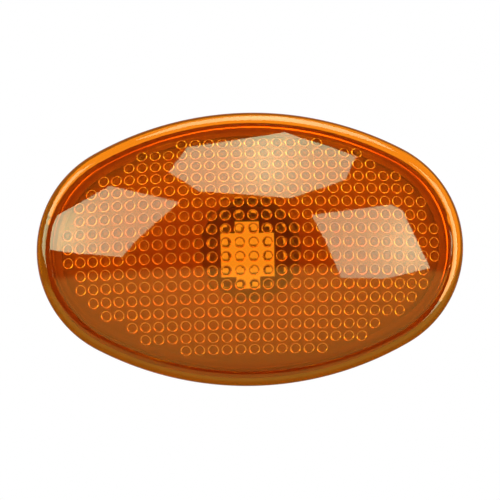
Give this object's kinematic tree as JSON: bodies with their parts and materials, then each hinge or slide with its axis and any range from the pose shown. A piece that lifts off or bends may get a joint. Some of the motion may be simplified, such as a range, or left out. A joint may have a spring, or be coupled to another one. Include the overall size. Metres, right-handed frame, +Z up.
{
  "type": "fender marker light",
  "caption": "Oval side marker lamp: domed amber lens with optic dots, grey housing with hook, spring clip and a keyed opening for the bulb holder, and foam gasket.",
  "frame": {"origin": "centre of the gasket's rear face, where the lamp meets the outer face of the body panel", "axes": "the lens faces -Y, the bulb opening faces +Y, +X runs along the lamp's length towards the spring clip, +Z is up"},
  "size_m": [0.08, 0.0286, 0.0514],
  "materials": {
    "amber_lens": "clear amber acrylic",
    "grey_plastic": "satin moulded",
    "foam": "closed-cell foam",
    "spring_steel": "zinc plated"
  },
  "bodies": {
    "root": {"lens": "amber_lens", "housing": "grey_plastic", "panel_gasket": "foam", "spring_clip": "spring_steel"}
  },
  "joints": []
}
